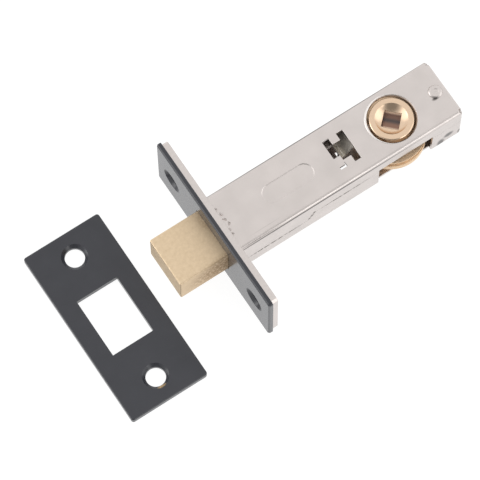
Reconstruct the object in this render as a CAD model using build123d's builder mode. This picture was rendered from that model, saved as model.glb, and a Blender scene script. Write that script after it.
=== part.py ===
"""Tubular privacy bolt with its strike plate, in millimetres.

The origin is the centre of the faceplate's front face. +X runs back into the door, +Y along
the faceplate and +Z along the hub's spindle axis. The bolt is modelled fully out.
"""
import os
from math import atan, cos, radians, sin, tan

from build123d import *

# Plates and their screw holes
plate_length = 57.0
plate_width = 25.0
plate_corner_radius = 0.8
faceplate_thickness = 1.4
faceplate_edge_chamfer = 0.45
mounting_thickness = 1.9
mounting_end_margin = 0.5
mounting_side_margin = 0.65
mounting_corner_chamfer = 0.8
screw_spacing = 42.0
screw_hole_diameter = 5.8
screw_head_diameter = 7.7
screw_head_angle = 90.0

# Strike plate, lying flat in front of the bolt
strike_thickness = 2.0
strike_gap = 20.8
strike_shift = -0.7
strike_end_clearance = 1.55
strike_side_clearance = 1.1
strike_edge_chamfer = 0.25

# Folded case, sized round the bolt's guide
sheet = 0.8
bend_radius = 1.3
end_round = 0.9
seam_front_height = -1.8
seam_rear_height = 1.5
seam_step_start = 26.0
seam_step_run = 2.0
seam_gap = 0.1
relief_radius = 0.7
flap_slit = 0.2
tab_width = 7.0
tab_clearance = 0.08

# Openings in the case, placed from the hub's axis
backset = 60.0
window_front_reach = 10.2
window_rear_reach = 8.0
window_top = 2.6
hole_lip_chamfer = 0.4
cutout_reach = 16.8
cutout_length = 6.8
cutout_width = 9.8
cutout_leg = 2.1
tongue_length = 2.2
bridge_reach = 1.1
bridge_width = 3.0
bridge_slit = 0.3
bridge_slit_reach = 1.0

# Plain oval pressed into the top panel
oval_centre = 25.2
oval_length = 16.6
oval_width = 5.9
oval_depth = 0.15
oval_wall_angle = 60.0

# Rivet through the rear end, behind the hub's disc
rivet_hub_gap = 2.25
rivet_inset = 3.3
rivet_head_diameter = 3.8
rivet_head_height = 0.45
rivet_shank_diameter = 2.4
rivet_post_diameter = 4.6
rivet_clearance = 0.03

# Hub
hub_turn = 100.0
hub_boss_diameter = 12.8
hub_boss_clearance = 0.6
hub_proud = 0.2
hub_end_play = 0.2
hub_shoulder_lap = 1.2
hub_neck_diameter = 8.6
hub_disc_proud = 0.9
hub_disc_thickness = 5.0
hub_edge_chamfer = 0.25
rim_lip = 0.3
rim_groove_width = 2.5
rim_groove_depth = 0.6
dish_diameter = 9.5
dish_radius = 7.0
spindle_square = 5.0

# Bolt
bolt_width = 15.8
bolt_height = 11.2
bolt_left_proud = 0.4
bolt_inside = 20.0
bolt_edge_round = 0.45
bolt_nose_round = 0.4
bolt_clearance = 0.25
guide_side_step = 0.3
guide_height_step = 1.35
guide_clearance = 0.35
shoulder_gap = 0.25

# Tail plate with the arm that the hub drives
tail_thickness = 2.0
tail_lift = 0.3
tail_side_margin = 0.8
tail_lap = 10.0
arm_clearance = 0.3
arm_end_margin = 2.4
tail_rear_clearance = 1.5
tail_corner_radius = 1.5
peg_diameter = 2.4
peg_floor_clearance = 0.4
notch_clearance = 0.2
tail_rivet_spacing = 8.0
tail_rivet_diameter = 2.6

# Leaf spring that drops into a groove of the tail at each end of its travel
spring_thickness = 0.4
spring_width = 7.0
spring_edge = -0.3
spring_foot_reach = 16.0
spring_limb_angle = 46.0
spring_lip_angle = 45.0
spring_lip_length = 1.7
spring_boss_gap = 0.6
spring_bend_radius = 0.9
spring_foot_radius = 0.7
detent_depth = 0.55
detent_width = 1.8
detent_clearance = 0.07

# Hub's boss, and the shoulder that keeps it in the case
boss_radius = hub_boss_diameter / 2
hub_hole_radius = boss_radius + hub_boss_clearance
shoulder_radius = hub_hole_radius + hub_shoulder_lap
neck_radius = hub_neck_diameter / 2

# Bolt, guide and case, worked out from the bolt and the hub outwards
opening_width = bolt_width + 2 * bolt_clearance
opening_height = bolt_height + 2 * bolt_clearance
guide_width = 2 * max(bolt_width / 2 + guide_side_step, shoulder_radius)
guide_height = bolt_height + 2 * guide_height_step
inner_half_width = guide_width / 2 + guide_clearance
inner_half_height = guide_height / 2 + guide_clearance
case_width = 2 * (inner_half_width + sheet)
case_height = 2 * (inner_half_height + sheet)
case_front = faceplate_thickness + mounting_thickness
tab_height = inner_half_height + sheet / 2
strike_opening_length = bolt_width + 2 * strike_end_clearance
strike_opening_width = bolt_height + 2 * strike_side_clearance

# Hub's disc, and the rear end behind it
disc_radius = case_width / 2 + hub_disc_proud
rivet_x = backset + disc_radius + rivet_hub_gap + rivet_post_diameter / 2
case_depth = rivet_x + rivet_inset

# Tail, peg and travel
tail_bottom = tail_lift
tail_top = tail_bottom + tail_thickness
arm_inner = neck_radius + arm_clearance
arm_outer = inner_half_width - arm_clearance
peg_line = (arm_inner + arm_outer) / 2
half_turn = radians(hub_turn / 2)
bolt_throw = 2 * peg_line * tan(half_turn)
bolt_projection = bolt_throw + bolt_left_proud
peg_x = backset - bolt_throw / 2
foot_x = backset - spring_foot_reach
slide_per_radian = bolt_throw / radians(hub_turn)
lead_steps = 50
os.makedirs("parts", exist_ok=True)


def peg_lead(turn):
    """How far the peg stands off the notch's centre line when the hub is turned from mid-travel."""
    return slide_per_radian * turn * cos(turn) - peg_line * sin(turn)


# The notch clears the peg all the way, also where a constant ratio leads the radial line
largest_lead = max(peg_lead(half_turn * step / lead_steps) for step in range(lead_steps))
notch_width = peg_diameter + 2 * (largest_lead + notch_clearance)
notch_floor = peg_line - peg_diameter / 2 - notch_clearance


def is_ring(edge, radius):
    """Tell whether an edge is a full circle of this radius."""
    return edge.geom_type == GeomType.CIRCLE and edge.is_closed and abs(edge.radius - radius) < 0.001


def save(node, name):
    """Label a finished piece and write it as parts/NAME.step."""
    node.part.label = name
    export_step(node.part, f"parts/{name}.step")
    print(f"{name:15s} {node.part.volume:9.2f} mm3")


# Faceplate: broken front edges, bolt opening and two countersunk screw holes
with BuildPart() as faceplate:
    with BuildSketch(Plane.YZ):
        RectangleRounded(plate_length, plate_width, plate_corner_radius)
        Rectangle(opening_width, opening_height, mode=Mode.SUBTRACT)
    extrude(amount=faceplate_thickness)
    front_face = faceplate.faces().sort_by(Axis.X)[0]
    chamfer(front_face.outer_wire().edges(), faceplate_edge_chamfer)
    with Locations(Plane.left):
        with GridLocations(screw_spacing, 0, 2, 1):
            CounterSinkHole(screw_hole_diameter / 2, screw_head_diameter / 2, None, screw_head_angle)
save(faceplate, "faceplate")

# Mounting plate: a smaller plate behind the faceplate, slotted for the tabs of the case
with BuildPart() as mounting_plate:
    with BuildSketch(Plane.YZ.offset(faceplate_thickness)):
        Rectangle(plate_length - 2 * mounting_end_margin, plate_width - 2 * mounting_side_margin)
        Rectangle(opening_width, opening_height, mode=Mode.SUBTRACT)
        with GridLocations(screw_spacing, 0, 2, 1):
            Circle(screw_hole_diameter / 2, mode=Mode.SUBTRACT)
        with GridLocations(0, 2 * tab_height, 1, 2):
            Rectangle(tab_width + 2 * tab_clearance, sheet + 2 * tab_clearance, mode=Mode.SUBTRACT)
    extrude(amount=mounting_thickness)
    corners = mounting_plate.edges().filter_by(Axis.X).group_by(Axis.Y)
    chamfer(corners[0] + corners[-1], mounting_corner_chamfer)
save(mounting_plate, "mounting_plate")

# Strike plate: flat plate with the bolt's opening, lying level with the plates' lower edge
strike_x = -strike_gap - plate_width / 2
strike_top = strike_thickness - plate_width / 2
with BuildPart() as strike_plate:
    with BuildSketch(Plane.XY.offset(-plate_width / 2)):
        with Locations((strike_x, strike_shift)):
            RectangleRounded(plate_width, plate_length, plate_corner_radius)
            Rectangle(strike_opening_width, strike_opening_length, mode=Mode.SUBTRACT)
    extrude(amount=strike_thickness)
    top_face = strike_plate.faces().sort_by(Axis.Z)[-1]
    chamfer(top_face.outer_wire().edges(), strike_edge_chamfer)
    with Locations((strike_x, strike_shift, strike_top)):
        with GridLocations(0, screw_spacing, 1, 2):
            CounterSinkHole(screw_hole_diameter / 2, screw_head_diameter / 2, None, screw_head_angle)
save(strike_plate, "strike_plate")

# Case before it is parted: a folded box with an end flap, open at the front
with BuildPart() as case_box:
    with BuildSketch(Plane.YZ.offset(case_front)):
        RectangleRounded(case_width, case_height, bend_radius)
    extrude(amount=case_depth - case_front)
    fillet(case_box.faces().sort_by(Axis.X)[-1].edges(), end_round)
    with BuildSketch(Plane.YZ.offset(case_front)):
        RectangleRounded(2 * inner_half_width, 2 * inner_half_height, bend_radius - sheet)
    extrude(amount=case_depth - sheet - case_front, mode=Mode.SUBTRACT)

    # Side windows that the hub's disc turns in, open down to the bottom panel
    window_length = window_front_reach + window_rear_reach
    window_x = backset + (window_rear_reach - window_front_reach) / 2
    window_height = window_top + case_height
    with Locations((window_x, 0, window_top - window_height / 2)):
        with GridLocations(0, case_width, 1, 2):
            Box(window_length, 2 * bend_radius, window_height, mode=Mode.SUBTRACT)

    # Hub holes with a broken edge, and the rear rivet's holes
    with Locations((backset, 0, case_height / 2)):
        Hole(hub_hole_radius)
    hole_edges = case_box.edges().filter_by(lambda edge: is_ring(edge, hub_hole_radius))
    chamfer(hole_edges.sort_by(Axis.Z)[0], hole_lip_chamfer)
    hole_edges = case_box.edges().filter_by(lambda edge: is_ring(edge, hub_hole_radius))
    chamfer(hole_edges.sort_by(Axis.Z)[-1], hole_lip_chamfer)
    with Locations((rivet_x, 0, case_height / 2)):
        Hole(rivet_shank_diameter / 2 + rivet_clearance)

    # H-shaped cut-out through both panels, left by two tongues
    with BuildSketch(Plane.XY.offset(-case_height / 2)):
        with Locations((backset - cutout_reach, 0)):
            Rectangle(cutout_length, cutout_width)
            with GridLocations(0, cutout_width - tongue_length, 1, 2):
                Rectangle(cutout_length - 2 * cutout_leg, tongue_length, mode=Mode.SUBTRACT)
    extrude(amount=case_height, mode=Mode.SUBTRACT)

    # The end flap is slit from the side walls, with a round relief at each corner
    with Locations((case_depth, 0, 0)):
        with GridLocations(0, 2 * inner_half_width, 1, 2):
            Box(2 * sheet, flap_slit, 2 * inner_half_height, mode=Mode.SUBTRACT)
    with Locations((case_depth - sheet / 2, 0, 0)):
        with GridLocations(0, 2 * inner_half_width, 1, 2):
            with Locations((0, 0, inner_half_height), (0, 0, -inner_half_height)):
                Cylinder(relief_radius, 2 * sheet, mode=Mode.SUBTRACT)


def seam_outline(height, far_height):
    """Draw the stepped seam on the side wall, closed round the part of the case kept."""
    step_end = seam_step_start + seam_step_run
    Polyline(
        (case_front, seam_front_height + height),
        (seam_step_start, seam_front_height + height),
        (step_end, seam_rear_height + height),
        (case_depth, seam_rear_height + height),
        (case_depth, far_height),
        (case_front, far_height),
        close=True,
    )


def add_tab(height):
    """Add the tab that a panel passes through the mounting plate."""
    with Locations((case_front - mounting_thickness / 2, 0, height)):
        Box(mounting_thickness, tab_width, sheet)


def bridge_outline(side):
    """Draw the bridge left across a leg of the cut-out: the front leg for side 1, the rear for -1."""
    outer = backset - cutout_reach - side * cutout_length / 2
    inner = outer + side * cutout_leg
    near = -side * bridge_reach
    far = near - side * bridge_width
    Polyline(
        (outer, near),
        (inner, near),
        (inner, far + side * bridge_slit_reach),
        (inner - side * bridge_slit, far),
        (outer, far),
        close=True,
    )


# Upper shell: everything above the seam, with a bridge across the cut-out's front leg
with BuildPart() as case_upper:
    add(case_box.part)
    with BuildSketch(Plane.XZ):
        with BuildLine():
            seam_outline(seam_gap / 2, case_height)
        make_face()
    extrude(amount=case_width, both=True, mode=Mode.INTERSECT)
    add_tab(tab_height)
    with BuildSketch(Plane.XY.offset(inner_half_height)):
        with BuildLine():
            bridge_outline(1)
        make_face()
    extrude(amount=sheet)
    with BuildSketch(Plane.XY.offset(case_height / 2)):
        with Locations((oval_centre, 0)):
            SlotOverall(oval_length, oval_width)
    extrude(amount=-oval_depth, taper=oval_wall_angle, mode=Mode.SUBTRACT)
save(case_upper, "case_upper")

# Lower shell: everything below the seam, with its bridge across the rear leg
with BuildPart() as case_lower:
    add(case_box.part)
    with BuildSketch(Plane.XZ):
        with BuildLine():
            seam_outline(-seam_gap / 2, -case_height)
        make_face()
    extrude(amount=case_width, both=True, mode=Mode.INTERSECT)
    add_tab(-tab_height)
    with BuildSketch(Plane.XY.offset(-case_height / 2)):
        with BuildLine():
            bridge_outline(-1)
        make_face()
    extrude(amount=sheet)
save(case_lower, "case_lower")

# Rear rivet: a post between the panels, with a shank and a low head at each end
with BuildPart() as rear_rivet:
    with Locations((rivet_x, 0, 0)):
        Cylinder(rivet_post_diameter / 2, 2 * inner_half_height)
        Cylinder(rivet_shank_diameter / 2, case_height)
    for side in (1, -1):
        with Locations((rivet_x, 0, side * (case_height + rivet_head_height) / 2)):
            Cylinder(rivet_head_diameter / 2, rivet_head_height)
save(rear_rivet, "rear_rivet")

# Hub: turned brass with a disc below the tail, a neck beside its arm and a boss at each end
groove_radius = disc_radius - rim_groove_depth
groove_bottom = -rim_lip - rim_groove_width
boss_bottom = tail_top + arm_clearance + hub_end_play
shoulder_end = inner_half_height - hub_end_play
hub_top = case_height / 2 + hub_proud
hub_centre = (backset, 0, 0)
with BuildPart() as hub:
    with BuildSketch(Plane.XZ.shift_origin(hub_centre)):
        with BuildLine():
            Polyline(
                (0, -hub_top),
                (boss_radius, -hub_top),
                (boss_radius, -shoulder_end),
                (shoulder_radius, -shoulder_end),
                (shoulder_radius, -hub_disc_thickness),
                (disc_radius, -hub_disc_thickness),
                (disc_radius, groove_bottom),
                (groove_radius, groove_bottom),
                (groove_radius, -rim_lip),
                (disc_radius, -rim_lip),
                (disc_radius, 0),
                (neck_radius, 0),
                (neck_radius, boss_bottom),
                (boss_radius, boss_bottom),
                (boss_radius, hub_top),
                (0, hub_top),
                close=True,
            )
        make_face()
    revolve(axis=Axis(hub_centre, (0, 0, 1)))
    hub_ends = hub.faces().filter_by(Plane.XY).sort_by(Axis.Z)
    chamfer(hub_ends[0].edges() + hub_ends[-1].edges(), hub_edge_chamfer)

    # Spherical dish round each mouth of the square spindle hole, a corner towards the bolt. The
    # spheres lie on their sides, so that their poles stay off the dishes
    dish_rise = (dish_radius**2 - (dish_diameter / 2) ** 2) ** 0.5
    with Locations((backset, 0, hub_top + dish_rise), (backset, 0, -hub_top - dish_rise)):
        Sphere(dish_radius, rotation=(90, 0, 0), mode=Mode.SUBTRACT)
    with BuildSketch(Plane.XY.shift_origin(hub_centre).offset(-hub_top)):
        Rectangle(spindle_square, spindle_square, rotation=45)
    extrude(amount=2 * hub_top, mode=Mode.SUBTRACT)

    # Radial notch that drives the peg, wide enough for a constant ratio of slide to turn
    notch_plane = Plane.XY.shift_origin(hub_centre).rotated((0, 0, 90 + hub_turn / 2))
    with BuildSketch(notch_plane.offset(-hub_disc_thickness)):
        with Locations((notch_floor + notch_width / 2, 0)):
            Circle(notch_width / 2)
        with Locations((notch_floor + notch_width / 2 + disc_radius / 2, 0)):
            Rectangle(disc_radius, notch_width)
    extrude(amount=hub_disc_thickness, mode=Mode.SUBTRACT)
save(hub, "hub")

# Bolt: reduced head through the plates, a guide that fills the case, a step for the tail
shoulder_x = case_front + shoulder_gap
tail_front = bolt_inside - tail_lap
with BuildPart() as bolt_head:
    with BuildSketch(Plane.YZ.offset(-bolt_projection)):
        RectangleRounded(bolt_width, bolt_height, bolt_edge_round)
    extrude(amount=bolt_projection + shoulder_x)
    fillet(bolt_head.faces().sort_by(Axis.X)[0].edges(), bolt_nose_round)
    with BuildSketch(Plane.YZ.offset(shoulder_x)):
        RectangleRounded(guide_width, guide_height, bolt_edge_round)
    extrude(amount=bolt_inside - shoulder_x)
    step_height = guide_height / 2 - tail_bottom
    with Locations((bolt_inside - tail_lap / 2, 0, tail_bottom + step_height / 2)):
        Box(tail_lap, guide_width, step_height, mode=Mode.SUBTRACT)
    with Locations((bolt_inside - tail_lap / 2, 0, tail_bottom)):
        with GridLocations(0, tail_rivet_spacing, 1, 2):
            Hole(tail_rivet_diameter / 2 + rivet_clearance)
save(bolt_head, "bolt_head")

# Tail: a flat steel plate on the bolt's step, with one arm that runs beside the hub's neck
tail_rear = backset - arm_inner - bolt_throw - tail_rear_clearance
arm_rear = peg_x + arm_end_margin
with BuildPart() as bolt_tail:
    with BuildSketch(Plane.XY.offset(tail_bottom)) as tail_outline:
        with BuildLine():
            Polyline(
                (tail_front, tail_side_margin - arm_outer),
                (tail_rear, tail_side_margin - arm_outer),
                (tail_rear, arm_inner),
                (arm_rear, arm_inner),
                (arm_rear, arm_outer),
                (tail_front, arm_outer),
                close=True,
            )
        make_face()
        rear_corners = tail_outline.vertices().group_by(Axis.X)
        fillet(rear_corners[-1] + rear_corners[1], tail_corner_radius)
        with Locations((peg_x, peg_line)):
            Circle(peg_diameter / 2 + rivet_clearance, mode=Mode.SUBTRACT)
        with Locations((bolt_inside - tail_lap / 2, 0)):
            with GridLocations(0, tail_rivet_spacing, 1, 2):
                Circle(tail_rivet_diameter / 2 + rivet_clearance, mode=Mode.SUBTRACT)
    extrude(amount=tail_thickness)

    # One groove for the spring's foot at each end of the travel
    for groove_x in (foot_x, foot_x - bolt_throw):
        with BuildSketch(Plane.XZ):
            with BuildLine():
                Polyline(
                    (groove_x - detent_width / 2, tail_top),
                    (groove_x, tail_top - detent_depth),
                    (groove_x + detent_width / 2, tail_top),
                    close=True,
                )
            make_face()
        extrude(amount=case_width, both=True, mode=Mode.SUBTRACT)
save(bolt_tail, "bolt_tail")

# Two rivets, peened flush, that join the tail to the bolt
rivet_bottom = -guide_height / 2
with BuildPart() as tail_rivets:
    with BuildSketch(Plane.XY.offset(rivet_bottom)):
        with Locations((bolt_inside - tail_lap / 2, 0)):
            with GridLocations(0, tail_rivet_spacing, 1, 2):
                Circle(tail_rivet_diameter / 2)
    extrude(amount=tail_top - rivet_bottom)
save(tail_rivets, "tail_rivets")

# Peg riveted into the arm, hanging into the hub's notch
with BuildPart() as drive_peg:
    peg_length = tail_top + hub_disc_thickness - peg_floor_clearance
    with Locations((peg_x, peg_line, tail_top - peg_length / 2)):
        Cylinder(peg_diameter / 2, peg_length)
save(drive_peg, "drive_peg")

# Leaf spring: a base under the top panel, a limb down to a rounded foot and a short lip
limb_angle = radians(spring_limb_angle)
lip_angle = radians(spring_lip_angle)
base_line = inner_half_height - spring_thickness / 2
foot_line_radius = spring_foot_radius - spring_thickness / 2
groove_slope = atan(2 * detent_depth / detent_width)
foot_centre = tail_top - detent_depth + (spring_foot_radius + detent_clearance) / cos(groove_slope)

# The limb and the lip are tangent to the foot, so their lines meet at this corner below it
corner_reach = foot_line_radius / cos((limb_angle + lip_angle) / 2)
corner_x = foot_x + corner_reach * sin((limb_angle - lip_angle) / 2)
corner_z = foot_centre - corner_reach * cos((limb_angle - lip_angle) / 2)
limb_top_x = corner_x + (base_line - corner_z) / tan(limb_angle)
lip_end = (corner_x - spring_lip_length * cos(lip_angle), corner_z + spring_lip_length * sin(lip_angle))
with BuildPart() as detent_spring:
    with BuildSketch(Plane.XZ.offset(-spring_edge)):
        with BuildLine():
            FilletPolyline(
                (backset - boss_radius - spring_boss_gap, base_line),
                (limb_top_x, base_line),
                (corner_x, corner_z),
                lip_end,
                radius=(spring_bend_radius, foot_line_radius),
            )
        trace(line_width=spring_thickness)
    extrude(amount=-spring_width)
save(detent_spring, "detent_spring")
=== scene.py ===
# %% [markdown]
# # A privacy bolt and its strike plate
# A privacy bolt locks a bathroom door: a square spindle turns a brass hub, and the hub slides
# a brass bolt out of a folded steel case. This file dresses the measured solids. Each cell
# makes one finish or one piece, and says what the real one is before it makes it.

# %% The measured solids
import math

import bpy
import numpy as np
from mathutils import Matrix, Vector


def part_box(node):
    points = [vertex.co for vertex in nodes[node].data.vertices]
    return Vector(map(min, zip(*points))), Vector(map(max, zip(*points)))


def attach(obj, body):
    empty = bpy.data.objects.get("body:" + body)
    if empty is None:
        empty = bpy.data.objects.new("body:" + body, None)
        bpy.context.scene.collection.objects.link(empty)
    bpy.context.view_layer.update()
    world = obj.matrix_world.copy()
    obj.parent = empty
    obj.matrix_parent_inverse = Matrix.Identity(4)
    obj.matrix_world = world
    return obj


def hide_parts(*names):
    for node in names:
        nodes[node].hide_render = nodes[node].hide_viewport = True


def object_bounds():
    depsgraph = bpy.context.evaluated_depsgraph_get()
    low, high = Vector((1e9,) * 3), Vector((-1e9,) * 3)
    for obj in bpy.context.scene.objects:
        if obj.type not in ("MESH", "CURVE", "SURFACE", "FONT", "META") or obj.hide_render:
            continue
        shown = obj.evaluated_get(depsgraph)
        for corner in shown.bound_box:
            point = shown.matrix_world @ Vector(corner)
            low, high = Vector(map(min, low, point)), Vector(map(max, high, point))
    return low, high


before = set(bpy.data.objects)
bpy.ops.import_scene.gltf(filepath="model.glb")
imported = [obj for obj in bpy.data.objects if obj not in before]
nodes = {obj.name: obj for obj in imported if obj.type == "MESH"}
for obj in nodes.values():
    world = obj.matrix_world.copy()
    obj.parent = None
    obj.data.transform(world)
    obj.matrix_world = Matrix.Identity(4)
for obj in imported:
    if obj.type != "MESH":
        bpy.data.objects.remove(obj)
cad_low, cad_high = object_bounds()
print("solids:", ", ".join(sorted(nodes)))

# %% [markdown]
# ## Units and colours
# Blender works in metres, and the hardware is drawn in millimetres, so one factor turns one
# into the other. Colours are written as the sRGB hex values that a paint chart would give.
# A shader wants linear light, so one function turns hex into that.

# %% Units and colours
MM = 0.001
WHITE = "#FFFFFF"


def linear(hex_colour):
    """Undo the sRGB curve: a channel c is ((c + 0.055) / 1.055)^2.4, or c / 12.92 near black."""
    channels = np.array([int(hex_colour[i:i + 2], 16) for i in (1, 3, 5)]) / 255
    low = channels / 12.92
    high = ((channels + 0.055) / 1.055) ** 2.4
    return (*np.where(channels <= 0.04045, low, high).tolist(), 1.0)


def per_metre(size_mm):
    """How many features of this size in millimetres fit in a metre: a texture's scale."""
    return 1.0 / (size_mm * MM)


print("a mid grey in linear light:", [round(c, 3) for c in linear("#808080")])

# %% [markdown]
# ## One helper for all shader nodes
# Every material below is a small graph of nodes. A helper that makes one node, sets its
# options and links or fills its inputs keeps each material as short as its recipe. Stamped and
# machined metal never has a razor edge, so each material also starts from a normal that is
# rounded off over a fraction of a millimetre at every edge.

# %% Node helper
EDGE_ROUND = 0.22       # a deburred edge is about 0.1 mm round, drawn wider so that it shows
EDGE_SAMPLES = 6
MIX_A, MIX_B, MIX_OUT = 6, 7, 2     # the colour sockets of Blender's Mix node


def add(tree, kind, inputs=None, **options):
    """Make one node. An input that is another node's output is linked, any other is set."""
    made = tree.nodes.new(kind)
    for name, value in options.items():
        setattr(made, name, value)
    for socket, value in (inputs or {}).items():
        if isinstance(value, bpy.types.NodeSocket):
            tree.links.new(value, made.inputs[socket])
        else:
            made.inputs[socket].default_value = value
    return made


def new_finish(name, edge_round=EDGE_ROUND):
    """Start a material: give it, its tree, its shader, Object coordinates and an edge normal."""
    material = bpy.data.materials.new(name)
    material.use_nodes = True
    tree = material.node_tree
    shader = tree.nodes["Principled BSDF"]
    place = add(tree, "ShaderNodeTexCoord").outputs["Object"]
    edge = add(tree, "ShaderNodeBevel", {"Radius": edge_round * MM}, samples=EDGE_SAMPLES)
    return material, tree, shader, place, edge.outputs["Normal"]


print("helpers ready")

# %% [markdown]
# ## Stains and chips
# A new lock still carries marks: dirt that the plating bath left along a seam, a rubbed patch, a chip
# in the lacquer. The same soft eggs also paint shade and dark reflections: dark lines along the folds,
# patches at the rear of the case, the rivet's shadow and a darker side of the bolt. Each is a soft egg
# in space, 1 at its heart and 0 outside, and noise breaks up the ragged ones. Working in space and not
# on a picture keeps a mark in its place from every side.

# %% Stains, chips and painted shade
MARK_HEART = 0.35       # the share of an egg that is full
BREAK_SIZE = 0.8
BREAK_NONE, BREAK_FULL = 0.36, 0.54     # the noise values between which a ragged mark comes in


def marked(tree, place, eggs, ragged=True):
    """Add up soft eggs, each with a centre and half axes in mm. Noise breaks a ragged sum up."""
    total = 0.0
    for centre, halves in eggs:
        inside = add(tree, "ShaderNodeMapping", {
            "Vector": place,
            "Scale": [per_metre(half) for half in halves],
            "Location": [-c / half for c, half in zip(centre, halves)],
        }).outputs["Vector"]
        reach = add(tree, "ShaderNodeVectorMath", {0: inside}, operation="LENGTH")
        egg = add(tree, "ShaderNodeMapRange", {
            "Value": reach.outputs["Value"], "From Min": 1.0, "From Max": MARK_HEART,
        }, interpolation_type="SMOOTHSTEP")
        total = add(tree, "ShaderNodeMath", {0: total, 1: egg.outputs["Result"]}).outputs[0]
    if not ragged:
        return total
    noise = add(tree, "ShaderNodeTexNoise", {
        "Vector": place, "Scale": per_metre(BREAK_SIZE), "Detail": 3.0,
    }).outputs["Fac"]
    broken = add(tree, "ShaderNodeMapRange", {
        "Value": noise, "From Min": BREAK_NONE, "From Max": BREAK_FULL,
    }).outputs["Result"]
    both = add(tree, "ShaderNodeMath", {0: total, 1: broken}, operation="MULTIPLY", use_clamp=True)
    return both.outputs[0]


print("marks ready")

# %% [markdown]
# ## Nickel plated steel
# The case is folded from cold-rolled sheet and nickel plated. Rolling leaves fine streaks along the
# sheet, and the thin plating follows them, so the metal is satin: it mirrors broad light softly. A
# noise stretched along the case gives the streaks, and a coarse one the cloudy patches of a
# barrel-plated part. The thick plate behind the faceplate is sheared, so its edge is speckled instead
# of streaked. The rims of the hub's holes are struck a second time, so they are smoother; their paler
# tint is a painted highlight.

# %% Nickel plated steel
STREAK_WIDTH = 0.35     # real rolling streaks are about 0.1 mm, drawn coarser so that they show
STREAK_LENGTH = 9.0
CLOUD_SIZE = 7.0
SPECKLE_SIZE = 0.7
# a paler nickel, a painted highlight on the coined rims
SATIN_TINTS = ("#C6BFBB", "#DAD2CE")
RIM_HIGHLIGHT_TINTS = ("#E6E0DC", "#F2EDE9")   # the second blow burnishes the plating
# the tint of the painted shade, and the tint of the dirt and dark marks
PAINTED_SHADE_TINT, DIRT_AND_MARK_TINT = "#6B6664", "#544A41"
SATIN_ROUGHNESS = (0.24, 0.4)
STREAK_RELIEF = 0.02
SATIN_DEPTH, SHEARED_DEPTH, COINED_DEPTH = 0.2, 0.6, 0.1
print("streaks", STREAK_LENGTH, "mm long, clouds", CLOUD_SIZE, "mm wide")

# %% [markdown]
# ## Where the plating is marked
# Each mark is a centre and three half axes in millimetres. Dirt sits along the seam of the near side
# wall and up its step, and two dark marks sit at the rear corner. Dark lines along the folds are
# painted shade and painted reflection, and one at the front also dulls the fold's highlight. Two soft
# patches at the rear of the near side wall and one beside the rear rivet are painted shade. The chisel
# that stakes the case leaves six struck lines, each with a dark spot behind it.

# %% Where the plating is marked
WALL, DEEP = -9.4, 0.8      # just outside the near side wall, and as deep as its sheet
STEP_START, STEP_PITCH, STEP_MARKS = (26.3, -1.2), (0.55, 0.9), 4
# a small dark spot behind each struck line
SPOT_BEHIND, SPOT_HEIGHT, SPOT_HALVES = 0.45, 8.37, (0.4, 0.9, 0.3)
SEAM_DIRT = [((14.0, WALL, -1.9), (13.0, DEEP, 0.65)), ((38.0, WALL, 1.4), (11.0, DEEP, 0.55))]
STEP_DIRT = [
    ((STEP_START[0] + STEP_PITCH[0] * k, WALL, STEP_START[1] + STEP_PITCH[1] * k), (0.6, DEEP, 1.1))
    for k in range(STEP_MARKS)
]
# two small dark marks at the rear corner of the near side wall
REAR_DARK_MARKS = [((77.3, WALL, -5.7), (0.7, DEEP, 1.9)), ((70.6, WALL, -7.3), (1.3, DEEP, 1.2))]
# painted shade: two soft darker patches on the rear of the near side wall
REAR_PAINTED_SHADE = [((71.0, WALL, -5.8), (1.7, DEEP, 3.0)), ((73.6, WALL, -3.2), (2.2, DEEP, 1.9))]
RIVET_SHADE = [((73.8, -1.7, 8.1), (1.5, 0.7, 0.3))]
# painted shade and painted reflection: dark lines along the folds of both side walls and beside the
# near fold on the top; the front one also dulls the fold's highlight
FOLD_SHADE_LINES = [
    ((27.0, WALL, 7.0), (50.0, 0.4, 0.6)),
    ((9.0, -9.15, 7.8), (15.0, 0.35, 0.4)),
    ((13.0, -7.2, 8.34), (12.0, 0.25, 0.3)),
    ((37.0, 9.25, 7.7), (60.0, 0.64, 0.64)),
]
STAKES = [
    # where the struck line starts and ends on the top panel, and how far it bows
    ((3.6, 5.4), (4.1, 3.8), 0.2),
    ((4.6, 3.2), (5.0, 1.9), -0.3),
    ((4.1, 1.2), (4.9, 0.1), 0.2),
    ((5.1, -0.2), (4.6, -1.4), 0.2),
    ((4.2, -2.0), (4.5, -3.0), -0.2),
    ((4.1, -3.4), (3.8, -4.6), 0.2),
]
STAKE_DARK_SPOTS = [
    (((start[0] + end[0]) / 2 + SPOT_BEHIND, (start[1] + end[1]) / 2, SPOT_HEIGHT), SPOT_HALVES)
    for start, end, _ in STAKES
]
case_dirt_and_dark_marks = SEAM_DIRT + STEP_DIRT + REAR_DARK_MARKS + STAKE_DARK_SPOTS
# the painted shade: the fold lines, the rear patches and the rivet's shadow
case_painted_shade = FOLD_SHADE_LINES + REAR_PAINTED_SHADE + RIVET_SHADE
print("dirty marks:", len(case_dirt_and_dark_marks), "smears:", len(case_painted_shade))

# %% [markdown]
# ## Mixing the nickel
# One function makes all three platings, because they differ only in tint, streaks and marks. The clouds
# mix two tints, the painted shade and then the dirt and dark marks cover them, and the streaks set
# roughness and bump.

# %% Mixing the nickel


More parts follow.
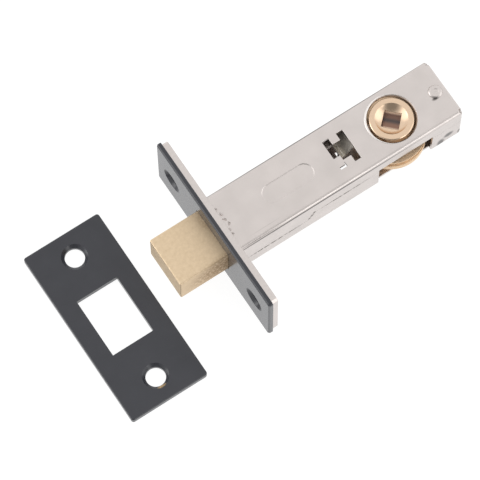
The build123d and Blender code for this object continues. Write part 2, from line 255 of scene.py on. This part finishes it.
def nickel_plated_steel(name, tints, streak_length, cloud_size, depth, painted_shade=(), dirt_and_marks=()):
    """Satin nickel: a warm pale grey metal with streaks along X, faint clouds, painted shade, dirt and
    dark marks.
    """
    material, tree, shader, place, edge = new_finish(name)
    stretch = add(tree, "ShaderNodeMapping", {
        "Vector": place,
        "Scale": (per_metre(streak_length), per_metre(STREAK_WIDTH), per_metre(STREAK_WIDTH)),
    }).outputs["Vector"]
    streaks = add(tree, "ShaderNodeTexNoise", {
        "Vector": stretch, "Scale": 1.0, "Detail": 3.0, "Roughness": 0.6,
    }).outputs["Fac"]
    clouds = add(tree, "ShaderNodeTexNoise", {
        "Vector": place, "Scale": per_metre(cloud_size), "Detail": 4.0,
    }).outputs["Fac"]
    tint = add(tree, "ShaderNodeMix", {
        "Factor": clouds, MIX_A: linear(tints[0]), MIX_B: linear(tints[1]),
    }, data_type="RGBA").outputs[MIX_OUT]
    # painted shade goes over the clouds
    if painted_shade:
        tint = add(tree, "ShaderNodeMix", {
            "Factor": marked(tree, place, painted_shade, ragged=False), MIX_A: tint, MIX_B: linear(PAINTED_SHADE_TINT),
        }, data_type="RGBA").outputs[MIX_OUT]
    if dirt_and_marks:
        tint = add(tree, "ShaderNodeMix", {
            "Factor": marked(tree, place, dirt_and_marks), MIX_A: tint, MIX_B: linear(DIRT_AND_MARK_TINT),
        }, data_type="RGBA").outputs[MIX_OUT]
    gloss = add(tree, "ShaderNodeMapRange", {
        "Value": streaks, "To Min": SATIN_ROUGHNESS[0], "To Max": SATIN_ROUGHNESS[1],
    }).outputs["Result"]
    relief = add(tree, "ShaderNodeBump", {
        "Height": streaks, "Normal": edge, "Strength": depth, "Distance": STREAK_RELIEF * MM,
    }).outputs["Normal"]
    tree.links.new(tint, shader.inputs["Base Color"])
    tree.links.new(gloss, shader.inputs["Roughness"])
    tree.links.new(relief, shader.inputs["Normal"])
    shader.inputs["Metallic"].default_value = 1.0
    return material


nickel = nickel_plated_steel(
    "nickel_plated_rolled_steel", SATIN_TINTS, STREAK_LENGTH, CLOUD_SIZE, SATIN_DEPTH,
    case_painted_shade, case_dirt_and_dark_marks,
)
sheared_nickel = nickel_plated_steel(
    "nickel_plated_sheared_steel", SATIN_TINTS, STREAK_WIDTH, SPECKLE_SIZE, SHEARED_DEPTH,
)
rim_highlight_nickel = nickel_plated_steel(
    "nickel_with_painted_rim_highlight", RIM_HIGHLIGHT_TINTS, STREAK_LENGTH, CLOUD_SIZE, COINED_DEPTH,
)
print("finishes:", nickel.name, sheared_nickel.name, rim_highlight_nickel.name)

# %% [markdown]
# ## Matt black lacquer
# The two outer plates are brass with a matt black electrophoretic coat, which is a thin lacquer.
# It is nearly black, yet a low angle shows a grey sheen, because any lacquer mirrors more light
# at a glancing look. A dielectric shader does that by itself. A fine grain roughens it. One
# screw hole of the strike has a chip where bare brass shines.

# %% Matt black lacquer
COAT_GRAIN = 0.3        # the real grain is near 0.05 mm, drawn coarser so that it shows
COAT_ROUND = 0.08       # the plates are blanked, so their edges are crisper than a fold's
COAT_TINTS, CHIP_TINT = ("#2C2D33", "#38393F"), "#D9B98A"
COAT_ROUGHNESS = (0.2, 0.3)
COAT_RELIEF, COAT_DEPTH = 0.02, 0.06
STRIKE_CHIP = [((-33.4, -25.0, -10.8), (1.7, 0.75, 0.9))]


def matt_black_lacquered_brass():
    """A thin dark lacquer: a dark base under a soft sheen, tiny bumps, bare metal in the chip."""
    material, tree, shader, place, edge = new_finish("matt_black_lacquered_brass", COAT_ROUND)
    grain = add(tree, "ShaderNodeTexNoise", {
        "Vector": place, "Scale": per_metre(COAT_GRAIN), "Detail": 3.0,
    }).outputs["Fac"]
    drift = add(tree, "ShaderNodeTexNoise", {
        "Vector": place, "Scale": per_metre(CLOUD_SIZE), "Detail": 2.0,
    }).outputs["Fac"]
    coat = add(tree, "ShaderNodeMix", {
        "Factor": drift, MIX_A: linear(COAT_TINTS[0]), MIX_B: linear(COAT_TINTS[1]),
    }, data_type="RGBA").outputs[MIX_OUT]
    chip = marked(tree, place, STRIKE_CHIP, ragged=False)
    tint = add(tree, "ShaderNodeMix", {
        "Factor": chip, MIX_A: coat, MIX_B: linear(CHIP_TINT),
    }, data_type="RGBA").outputs[MIX_OUT]
    gloss = add(tree, "ShaderNodeMapRange", {
        "Value": grain, "To Min": COAT_ROUGHNESS[0], "To Max": COAT_ROUGHNESS[1],
    }).outputs["Result"]
    relief = add(tree, "ShaderNodeBump", {
        "Height": grain, "Normal": edge, "Strength": COAT_DEPTH, "Distance": COAT_RELIEF * MM,
    }).outputs["Normal"]
    tree.links.new(tint, shader.inputs["Base Color"])
    tree.links.new(chip, shader.inputs["Metallic"])
    tree.links.new(gloss, shader.inputs["Roughness"])
    tree.links.new(relief, shader.inputs["Normal"])
    return material


black = matt_black_lacquered_brass()
print("finish:", black.name)

# %% [markdown]
# ## Drawn brass
# The bolt is cut from drawn brass bar and tumbled, so it is satin and a little mottled, with faint draw
# lines along its length. Where it comes out of the faceplate it has rubbed, and a brown smear is left
# on it. A long darker patch of the same tint down its near side is painted shade.

# %% Drawn brass
DRAW_LINE = 0.5         # real draw lines are about 0.1 mm wide, drawn coarser so that they show
DRAW_LENGTH = 12.0
MOTTLE_SIZE = 1.1
BAR_TINTS, RUB_AND_SHADE_TINT = ("#CDB491", "#F3E0C4"), "#B39775"
BAR_ROUGHNESS = (0.48, 0.66)
DRAW_RELIEF, DRAW_DEPTH = 0.03, 0.3
# a rub on the top by the faceplate, and a long patch down the near side that is painted shade
BOLT_RUB_AND_SIDE_SHADE = [((1.0, 4.0, 6.9), (5.5, 7.0, 2.0)), ((1.0, -8.2, 0.0), (17.0, 3.0, 9.0))]


def drawn_satin_brass():
    """Tumbled brass bar: tan metal, rough enough to hide mirror images, mottled."""
    material, tree, shader, place, edge = new_finish("drawn_satin_brass")
    stretch = add(tree, "ShaderNodeMapping", {
        "Vector": place,
        "Scale": (per_metre(DRAW_LENGTH), per_metre(DRAW_LINE), per_metre(DRAW_LINE)),
    }).outputs["Vector"]
    lines = add(tree, "ShaderNodeTexNoise", {
        "Vector": stretch, "Scale": 1.0, "Detail": 3.0,
    }).outputs["Fac"]
    mottle = add(tree, "ShaderNodeTexNoise", {
        "Vector": place, "Scale": per_metre(MOTTLE_SIZE), "Detail": 5.0, "Roughness": 0.65,
    }).outputs["Fac"]
    clean = add(tree, "ShaderNodeMix", {
        "Factor": mottle, MIX_A: linear(BAR_TINTS[0]), MIX_B: linear(BAR_TINTS[1]),
    }, data_type="RGBA").outputs[MIX_OUT]
    # the rub and the painted shade on the near side
    tint = add(tree, "ShaderNodeMix", {
        "Factor": marked(tree, place, BOLT_RUB_AND_SIDE_SHADE), MIX_A: clean, MIX_B: linear(RUB_AND_SHADE_TINT),
    }, data_type="RGBA").outputs[MIX_OUT]
    gloss = add(tree, "ShaderNodeMapRange", {
        "Value": mottle, "To Min": BAR_ROUGHNESS[0], "To Max": BAR_ROUGHNESS[1],
    }).outputs["Result"]
    relief = add(tree, "ShaderNodeBump", {
        "Height": lines, "Normal": edge, "Strength": DRAW_DEPTH, "Distance": DRAW_RELIEF * MM,
    }).outputs["Normal"]
    tree.links.new(tint, shader.inputs["Base Color"])
    tree.links.new(gloss, shader.inputs["Roughness"])
    tree.links.new(relief, shader.inputs["Normal"])
    shader.inputs["Metallic"].default_value = 1.0
    return material


bolt_brass = drawn_satin_brass()
print("finish:", bolt_brass.name)

# %% [markdown]
# ## Turned brass
# The hub is turned on a lathe, so its marks are rings round the spindle axis. They depend on the radius
# and the height alone: a noise that is read at the point (radius, height) makes rings on faces and
# lines round rims at once. The square hole is broached, not polished, so its walls are duller; their
# dark brown is painted shade, darkest half way through. Only the boss in the hub hole is polished. The
# disc that shows in the side window is left as turned, duller and paler.

# %% Turned brass
RING_PITCH = 0.25       # a fine lathe feed is about 0.05 mm, drawn coarser so that it shows
SQUARE_REACH = 3.7      # the hole's corners are 3.54 mm from the axis
HOLE_WALL_START, HOLE_WALL_FULL = 6.4, 4.9     # the walls of the square hole begin between these heights, at the dish
SHADE_DEEP = 3.2         # within this height of the middle the painted shade grows darker
BOSS_REACH = 6.5        # beyond this radius is the disc
HOLE_DULLNESS, DISC_DULLNESS = 0.2, 0.5
HOLE_SHADE_TINTS, HUB_TINTS = ("#84593F", "#38211A"), ("#DEC3A8", "#EAD2B4")
POLISH = (0.13, 0.26)
RING_RELIEF, RING_DEPTH = 0.01, 0.06
hub_low, hub_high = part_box("hub")
hub_x, hub_y = (hub_low.x + hub_high.x) / 2, (hub_low.y + hub_high.y) / 2


def turned_bright_brass():
    """Polished turned brass: a yellow pink metal, nearly a mirror, with rings about the axis."""
    material, tree, shader, place, edge = new_finish("turned_bright_brass")
    centred = add(tree, "ShaderNodeMapping", {
        "Vector": place, "Location": (-hub_x, -hub_y, 0.0),
    }).outputs["Vector"]
    axes = add(tree, "ShaderNodeSeparateXYZ", {"Vector": centred}).outputs
    flat = add(tree, "ShaderNodeCombineXYZ", {"X": axes["X"], "Y": axes["Y"]}).outputs["Vector"]
    radius = add(tree, "ShaderNodeVectorMath", {0: flat}, operation="LENGTH").outputs["Value"]
    section = add(tree, "ShaderNodeCombineXYZ", {"X": radius, "Y": axes["Z"]}).outputs["Vector"]
    rings = add(tree, "ShaderNodeTexNoise", {
        "Vector": section, "Scale": per_metre(RING_PITCH), "Detail": 2.0,
    }).outputs["Fac"]
    within = add(tree, "ShaderNodeMath", {
        0: radius, 1: SQUARE_REACH * MM,
    }, operation="LESS_THAN").outputs[0]
    height = add(tree, "ShaderNodeMath", {0: axes["Z"]}, operation="ABSOLUTE").outputs[0]
    below = add(tree, "ShaderNodeMapRange", {
        "Value": height, "From Min": HOLE_WALL_START * MM, "From Max": HOLE_WALL_FULL * MM,
    }).outputs["Result"]
    hole_walls = add(tree, "ShaderNodeMath", {0: within, 1: below}, operation="MULTIPLY").outputs[0]
    outer = add(tree, "ShaderNodeMath", {
        0: radius, 1: BOSS_REACH * MM,
    }, operation="GREATER_THAN").outputs[0]
    darkest_shade = add(tree, "ShaderNodeMapRange", {
        "Value": height, "From Min": SHADE_DEEP * MM, "From Max": 0.0,
    }, interpolation_type="SMOOTHSTEP").outputs["Result"]
    # the square hole's walls are painted dark brown as shade, darkest half way through
    hole_shade_tint = add(tree, "ShaderNodeMix", {
        "Factor": darkest_shade, MIX_A: linear(HOLE_SHADE_TINTS[0]), MIX_B: linear(HOLE_SHADE_TINTS[1]),
    }, data_type="RGBA").outputs[MIX_OUT]
    brass = add(tree, "ShaderNodeMix", {
        "Factor": outer, MIX_A: linear(HUB_TINTS[0]), MIX_B: linear(HUB_TINTS[1]),
    }, data_type="RGBA").outputs[MIX_OUT]
    tint = add(tree, "ShaderNodeMix", {
        "Factor": hole_walls, MIX_A: brass, MIX_B: hole_shade_tint,
    }, data_type="RGBA").outputs[MIX_OUT]
    polish = add(tree, "ShaderNodeMapRange", {
        "Value": rings, "To Min": POLISH[0], "To Max": POLISH[1],
    }).outputs["Result"]
    dull = add(tree, "ShaderNodeMath", {
        0: hole_walls, 1: HOLE_DULLNESS, 2: polish,
    }, operation="MULTIPLY_ADD").outputs[0]
    gloss = add(tree, "ShaderNodeMath", {
        0: outer, 1: DISC_DULLNESS, 2: dull,
    }, operation="MULTIPLY_ADD").outputs[0]
    relief = add(tree, "ShaderNodeBump", {
        "Height": rings, "Normal": edge, "Strength": RING_DEPTH, "Distance": RING_RELIEF * MM,
    }).outputs["Normal"]
    tree.links.new(tint, shader.inputs["Base Color"])
    tree.links.new(gloss, shader.inputs["Roughness"])
    tree.links.new(relief, shader.inputs["Normal"])
    shader.inputs["Metallic"].default_value = 1.0
    return material


hub_brass = turned_bright_brass()
print("finish:", hub_brass.name, "about the axis at", round(hub_x / MM, 2), "mm")

# %% [markdown]
# ## Plain steel inside
# The tail plate, its rivets, the peg and the leaf spring stay unplated inside the case. Mill
# steel under its film of oil is a dull grey, and spring strip is brighter. A fine grain mixes two
# tints and gives the bump.

# %% Plain steel
STEEL_GRAIN = 0.4       # rolled grain is near 0.05 mm, drawn coarser so that it shows
STEEL_RELIEF, STEEL_DEPTH = 0.02, 0.1
MILL_TINTS, MILL_ROUGHNESS = ("#A89F98", "#C9C1BA"), 0.6
STRIP_TINTS, STRIP_ROUGHNESS = ("#D8D2C8", "#F0EAE0"), 0.55


def oiled_rolled_steel(name, tints, roughness):
    """Unplated steel under a thin coat of lubricant: a grey metal between two tints, dull all over."""
    material, tree, shader, place, edge = new_finish(name)
    grain = add(tree, "ShaderNodeTexNoise", {
        "Vector": place, "Scale": per_metre(STEEL_GRAIN), "Detail": 4.0,
    }).outputs["Fac"]
    tint = add(tree, "ShaderNodeMix", {
        "Factor": grain, MIX_A: linear(tints[0]), MIX_B: linear(tints[1]),
    }, data_type="RGBA").outputs[MIX_OUT]
    relief = add(tree, "ShaderNodeBump", {
        "Height": grain, "Normal": edge, "Strength": STEEL_DEPTH, "Distance": STEEL_RELIEF * MM,
    }).outputs["Normal"]
    tree.links.new(tint, shader.inputs["Base Color"])
    tree.links.new(relief, shader.inputs["Normal"])
    shader.inputs["Metallic"].default_value = 1.0
    shader.inputs["Roughness"].default_value = roughness
    return material


tail_steel = oiled_rolled_steel("oiled_mill_steel", MILL_TINTS, MILL_ROUGHNESS)
spring_steel = oiled_rolled_steel("bright_spring_steel", STRIP_TINTS, STRIP_ROUGHNESS)
print("finishes:", tail_steel.name, spring_steel.name)

# %% [markdown]
# ## Dressing the solids
# Every solid keeps its mesh, and its one material slot takes the finish of the real piece.

# %% Dressing the solids
finish_of = {
    "strike_plate": black,
    "faceplate": black,
    "mounting_plate": sheared_nickel,
    "case_upper": nickel,
    "case_lower": nickel,
    "rear_rivet": nickel,
    "bolt_head": bolt_brass,
    "hub": hub_brass,
    "bolt_tail": tail_steel,
    "tail_rivets": tail_steel,
    "drive_peg": tail_steel,
    "detent_spring": spring_steel,
}
for node_name, finish in finish_of.items():
    for material_slot in nodes[node_name].material_slots:
        material_slot.material = finish
print("dressed", len(finish_of), "solids")

# %% [markdown]
# ## Closed shapes from grids
# The pieces below are shapes that a press or a punch leaves, too fine for the measured solids.
# All are closed skins: rings of points stand one behind the other and quads join each ring to
# the next. A fan of triangles closes each end on a single point, or the last ring meets the first.

# %% Closed shapes from grids
SHARP_ANGLE = 50.0


def skin(name, rings, finish, body, ends=None):
    """Join rings of points, shaped (rings, around, 3), and close them on two ends or in a loop."""
    count, around, _ = rings.shape
    spans = count if ends is None else count - 1
    ring, step = np.meshgrid(np.arange(spans), np.arange(around), indexing="ij")
    after, ahead = (step + 1) % around, (ring + 1) % count
    quads = np.stack([
        ring * around + step, ring * around + after, ahead * around + after, ahead * around + step,
    ], -1).reshape(-1, 4)
    points, faces = rings.reshape(-1, 3), quads.tolist()
    if ends is not None:
        first = np.arange(around)
        second = (first + 1) % around
        base = np.full(around, len(points))
        tip = base + 1
        last = spans * around
        faces += np.stack([base, second, first], -1).tolist()
        faces += np.stack([tip, last + first, last + second], -1).tolist()
        points = np.concatenate([points, ends])
    mesh = bpy.data.meshes.new(name)
    mesh.from_pydata(points.tolist(), [], faces)
    mesh.polygons.foreach_set("use_smooth", np.ones(len(mesh.polygons), bool))
    mesh.set_sharp_from_angle(angle=math.radians(SHARP_ANGLE))
    mesh.materials.append(finish)
    piece = bpy.data.objects.new(name, mesh)
    bpy.context.scene.collection.objects.link(piece)
    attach(piece, body)
    return piece


print("skin maker ready")

# %% [markdown]
# ## Spun rivet
# The rear rivet is closed by a spinning punch. The punch rolls round the head while it presses,
# so the rim is rounded, the middle is dished, and a shallow spiral is left. The solid is a plain
# stack of cylinders. Here one profile turns round the axis, and the heads' heights get a ripple
# whose phase grows with the radius and with the angle: that is a spiral.

# %% Spun rivet
HEAD_RADIUS, HEAD_HEIGHT = 2.05, 0.45
SHANK_RADIUS, POST_HALF = 1.2, 7.3
CROWN_POWER, CROWN_RINGS, CROWN_INNERMOST = 8, 26, 0.04
DISH_SHARE = 0.45       # how much of the crown's lift the dish takes away
DISH_EDGE, DISH_SLOPE = 0.8, 0.5        # where it starts and how wide its slope is, as r/R
SPIRAL_PITCH, SPIRAL_DEPTH = 0.9, 0.07
RIVET_STEPS = 64
rivet_low, rivet_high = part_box("rear_rivet")


def spun_rivet():
    """Revolve (radius, height): post, shank, then a crown of 1 - (r/R)^8 with a smooth dip."""
    middle = np.array((rivet_low + rivet_high) / 2) / MM
    post = (rivet_high.x - rivet_low.x) / 2 / MM
    top = (rivet_high.z - rivet_low.z) / 2 / MM
    base = top - HEAD_HEIGHT
    share = np.linspace(1.0, CROWN_INNERMOST, CROWN_RINGS)
    inner = np.clip((DISH_EDGE - share) / DISH_SLOPE, 0.0, 1.0)
    dip = DISH_SHARE * inner * inner * (3 - 2 * inner)
    lift = (1 - share ** CROWN_POWER) * (1 - dip)
    crown_height = base + (HEAD_HEIGHT - SPIRAL_DEPTH) * lift
    half_radius = np.concatenate([[post, SHANK_RADIUS, SHANK_RADIUS], HEAD_RADIUS * share])
    half_height = np.concatenate([[POST_HALF, POST_HALF, base], crown_height])
    radius = np.concatenate([half_radius[::-1], half_radius])[:, None]
    height = np.concatenate([-half_height[::-1], half_height])[:, None]
    angle = np.linspace(0, 2 * np.pi, RIVET_STEPS, endpoint=False)[None, :]
    crown = np.clip((np.abs(height) - base) / HEAD_HEIGHT, 0.0, 1.0)
    ripple = SPIRAL_DEPTH * crown * np.sin(2 * np.pi * radius / SPIRAL_PITCH + angle)
    ring_height = height + np.sign(height) * ripple
    rings = np.stack([
        middle[0] + radius * np.cos(angle),
        middle[1] + radius * np.sin(angle),
        middle[2] + ring_height,
    ], -1)
    pole = middle[2] + crown_height[-1]
    poles = np.array([(*middle[:2], 2 * middle[2] - pole), (*middle[:2], pole)])
    piece = skin("spun_rivet", rings * MM, nickel, "case", ends=poles * MM)
    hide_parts("rear_rivet")
    return piece


rivet = spun_rivet()
print("spun rivet:", len(rivet.data.vertices), "points")

# %% [markdown]
# ## Staking burrs
# The shells are staked to the plate in front of them: a blunt chisel is struck beside their
# tabs and throws up short ragged burrs. Each burr is a closed worm that lies half sunk in the
# sheet along one of the struck lines. Its thickness swells in the middle and shakes along its
# length, as a sum of a few sines whose phases are drawn from a fixed seed.

# %% Staking burrs
BURR_THICK, BURR_RISE = 0.28, 0.18
BURR_RINGS, BURR_STEPS = 40, 12
BURR_END = 0.03         # the share of the length that each pointed tip takes
SHAKE_WAVES, SHAKE_FIRST, SHAKE_NEXT = 4, 3, 4      # sines of 3, 7, 11 and 15 waves
SHAKE_SHARE, SHAKE_SWAY = 0.16, 0.3
case_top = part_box("case_upper")[1].z / MM


def staking_burr(name, first, second, bow, seed):
    """A worm along a bowed line: its half width is BURR_THICK * sqrt(sin(pi u)) * (1 + shake)."""
    along = np.linspace(BURR_END, 1 - BURR_END, BURR_RINGS)
    start, end = np.array(first), np.array(second)
    across = np.array([-(end - start)[1], (end - start)[0]]) / np.linalg.norm(end - start)
    phases = np.random.default_rng(seed).uniform(0, 2 * np.pi, SHAKE_WAVES)[:, None]
    waves = SHAKE_FIRST + SHAKE_NEXT * np.arange(SHAKE_WAVES)[:, None]
    shake = SHAKE_SHARE * np.sin(2 * np.pi * waves * along + phases).sum(0)
    line = start + along[:, None] * (end - start)
    line = line + (bow * np.sin(np.pi * along) + SHAKE_SWAY * shake)[:, None] * across
    width = BURR_THICK * np.sqrt(np.sin(np.pi * along)) * (1 + shake)
    angle = np.linspace(0, 2 * np.pi, BURR_STEPS, endpoint=False)
    sideways = width[:, None] * np.cos(angle)
    rings = np.stack([
        line[:, :1] + across[0] * sideways,
        line[:, 1:] + across[1] * sideways,
        case_top + BURR_RISE / BURR_THICK * width[:, None] * np.sin(angle),
    ], -1)
    tips = np.array([(*start, case_top), (*end, case_top)])
    return skin(name, rings * MM, nickel, "case", ends=tips * MM)


burrs = [
    staking_burr(f"staking_burr_{number}", first, second, bow, seed=number)
    for number, (first, second, bow) in enumerate(STAKES, 1)
]
print("staking burrs:", len(burrs))

# %% [markdown]
# ## Coined rims
# The hub's holes are punched, and a second blow with a rounded tool lays their edges over. What
# is left is a low smooth swelling round each hole, and it is the line that catches the light.
# The tool stood a little off centre, so the swelling is high on one side and fades on the other.
# Its section is a flat ellipse, carried round the hub's axis and half sunk in the sheet.

# %% Coined rims
RIM_RADIUS, RIM_HALF_WIDTH, RIM_RISE = 7.4, 0.36, 0.2
RIM_HIGH_SIDE, RIM_LOWEST, RIM_FADE = math.radians(150.0), 0.06, 2
RIM_RINGS, RIM_STEPS = 96, 16


def coined_rim(name, height_mm):
    """A ring of elliptic section: radius R + a s cos v, height h + b s sin v, s fades round it."""
    around = np.linspace(0, 2 * np.pi, RIM_RINGS, endpoint=False)[:, None]
    section = np.linspace(0, 2 * np.pi, RIM_STEPS, endpoint=False)[None, :]
    facing = (1 + np.cos(around - RIM_HIGH_SIDE)) / 2
    share = RIM_LOWEST + (1 - RIM_LOWEST) * facing ** RIM_FADE
    radius = RIM_RADIUS + RIM_HALF_WIDTH * share * np.cos(section)
    rings = np.stack([
        hub_x / MM + radius * np.cos(around),
        hub_y / MM + radius * np.sin(around),
        height_mm + RIM_RISE * share * np.sin(section),
    ], -1)
    # the rim's paler nickel is a painted highlight
    return skin(name, rings[:, ::-1] * MM, rim_highlight_nickel, "case")


rims = [coined_rim("coined_rim_upper", case_top), coined_rim("coined_rim_lower", -case_top)]
print("coined rims:", len(rims))

# %% [markdown]
# ## Camera
# The photograph was taken from high up with a long lens. Fitting the plates' corners gave the
# camera's place, its azimuth, its elevation and a small roll.

# %% Camera
CAMERA_PLACE = (-173.27, -283.87, 953.66)
AZIMUTH, ELEVATION, ROLL = -32.719, 70.787, -0.675
FOCAL_PIXELS, IMAGE_PIXELS, SENSOR = 3617.3, 480, 36.0

turn, lift, roll = (math.radians(v) for v in (AZIMUTH, ELEVATION, ROLL))
back = Vector((math.sin(turn) * math.cos(lift), -math.cos(turn) * math.cos(lift), math.sin(lift)))
level = Vector((math.cos(turn), math.sin(turn), 0.0))
upright = back.cross(level)
right = math.cos(roll) * level + math.sin(roll) * upright
up = -math.sin(roll) * level + math.cos(roll) * upright
lens = bpy.data.cameras.new("studio_camera")
lens.sensor_width = SENSOR
lens.lens = FOCAL_PIXELS * SENSOR / IMAGE_PIXELS
camera = bpy.data.objects.new("studio_camera", lens)
axes = Matrix((right, up, back)).transposed().to_4x4()
camera.matrix_world = Matrix.Translation(Vector(CAMERA_PLACE) * MM) @ axes
bpy.context.scene.collection.objects.link(camera)
bpy.context.scene.camera = camera
print("lens", round(lens.lens, 1), "mm at", round(camera.location.length, 3), "m")

# %% [markdown]
# ## Floor and light
# Catalogue pictures are shot on a lit table in a light tent, which leaves almost no shadow and
# keeps metal pale. The floor is therefore white paper that is lit from below. The tent is white
# all round, with a dark gap where the camera looks in, because polished metal shows its shape by
# mirroring such changes. A bright box stands on the camera's left and on its right. Two narrow
# lamps stand low, one before the case's long side and one before the faceplate.

# %% Floor and light
FLOOR_HALF = 3.0        # in metres
FLOOR_GAP = 0.05        # a hair below the plates, so that no two faces share one plane
FLOOR_GLOW = 0.92
PAPER_TINT, PAPER_ROUGHNESS = "#6E6E6E", 0.9
TENT_LIGHT = 1.05
viewer_side = Vector((back.x, back.y, 0.0)).normalized()
PANELS = [
    # its heading, its rise over the horizon, its strength, and the degrees from its middle
    # within which it is full and beyond which it is gone
    (viewer_side, 0.85, 0.3, 12.0, 50.0),
    (level, 0.45, 1.8, 12.0, 34.0),
    (-level, 0.45, 1.8, 12.0, 34.0),
    (Vector((0.18, -0.95, 0.0)), 0.28, 2.5, 6.0, 15.0),
    (Vector((-0.86, 0.5, 0.0)), 0.06, 2.8, 10.0, 20.0),
]


def make_floor():
    """A flat square of white paper, lit from below, under the parts."""
    mesh = bpy.data.meshes.new("studio_floor")
    corners = np.array([(-1, -1, 0), (1, -1, 0), (1, 1, 0), (-1, 1, 0)], float) * FLOOR_HALF
    corners[:, 2] = cad_low.z - FLOOR_GAP * MM
    mesh.from_pydata(corners.tolist(), [], [(0, 1, 2, 3)])
    floor = bpy.data.objects.new("studio_floor", mesh)
    bpy.context.scene.collection.objects.link(floor)
    paper = bpy.data.materials.new("lit_white_paper")
    paper.use_nodes = True
    shader = paper.node_tree.nodes["Principled BSDF"]
    shader.inputs["Base Color"].default_value = linear(PAPER_TINT)
    shader.inputs["Roughness"].default_value = PAPER_ROUGHNESS
    shader.inputs["Emission Color"].default_value = linear(WHITE)
    shader.inputs["Emission Strength"].default_value = FLOOR_GLOW
    mesh.materials.append(paper)


def make_tent():
    """The tent's light, plus what each panel adds or takes where a direction is near it."""
    world = bpy.data.worlds.new("light_tent")
    bpy.context.scene.world = world
    world.use_nodes = True
    tree = world.node_tree
    direction = add(tree, "ShaderNodeTexCoord").outputs["Generated"]
    total = TENT_LIGHT
    for heading, rise, strength, full, gone in PANELS:
        aim = (heading + Vector((0.0, 0.0, rise))).normalized()
        towards = add(tree, "ShaderNodeVectorMath", {0: direction, 1: aim}, operation="DOT_PRODUCT")
        panel = add(tree, "ShaderNodeMapRange", {
            "Value": towards.outputs["Value"],
            "From Min": math.cos(math.radians(gone)), "From Max": math.cos(math.radians(full)),
            "To Min": 0.0, "To Max": strength - TENT_LIGHT,
        }, interpolation_type="SMOOTHSTEP")
        total = add(tree, "ShaderNodeMath", {0: total, 1: panel.outputs["Result"]}).outputs[0]
    tree.links.new(total, tree.nodes["Background"].inputs["Strength"])
    tree.nodes["Background"].inputs["Color"].default_value = linear(WHITE)


make_floor()
make_tent()
bpy.context.scene.view_settings.view_transform = "Standard"
print("tent with", len(PANELS), "panels")
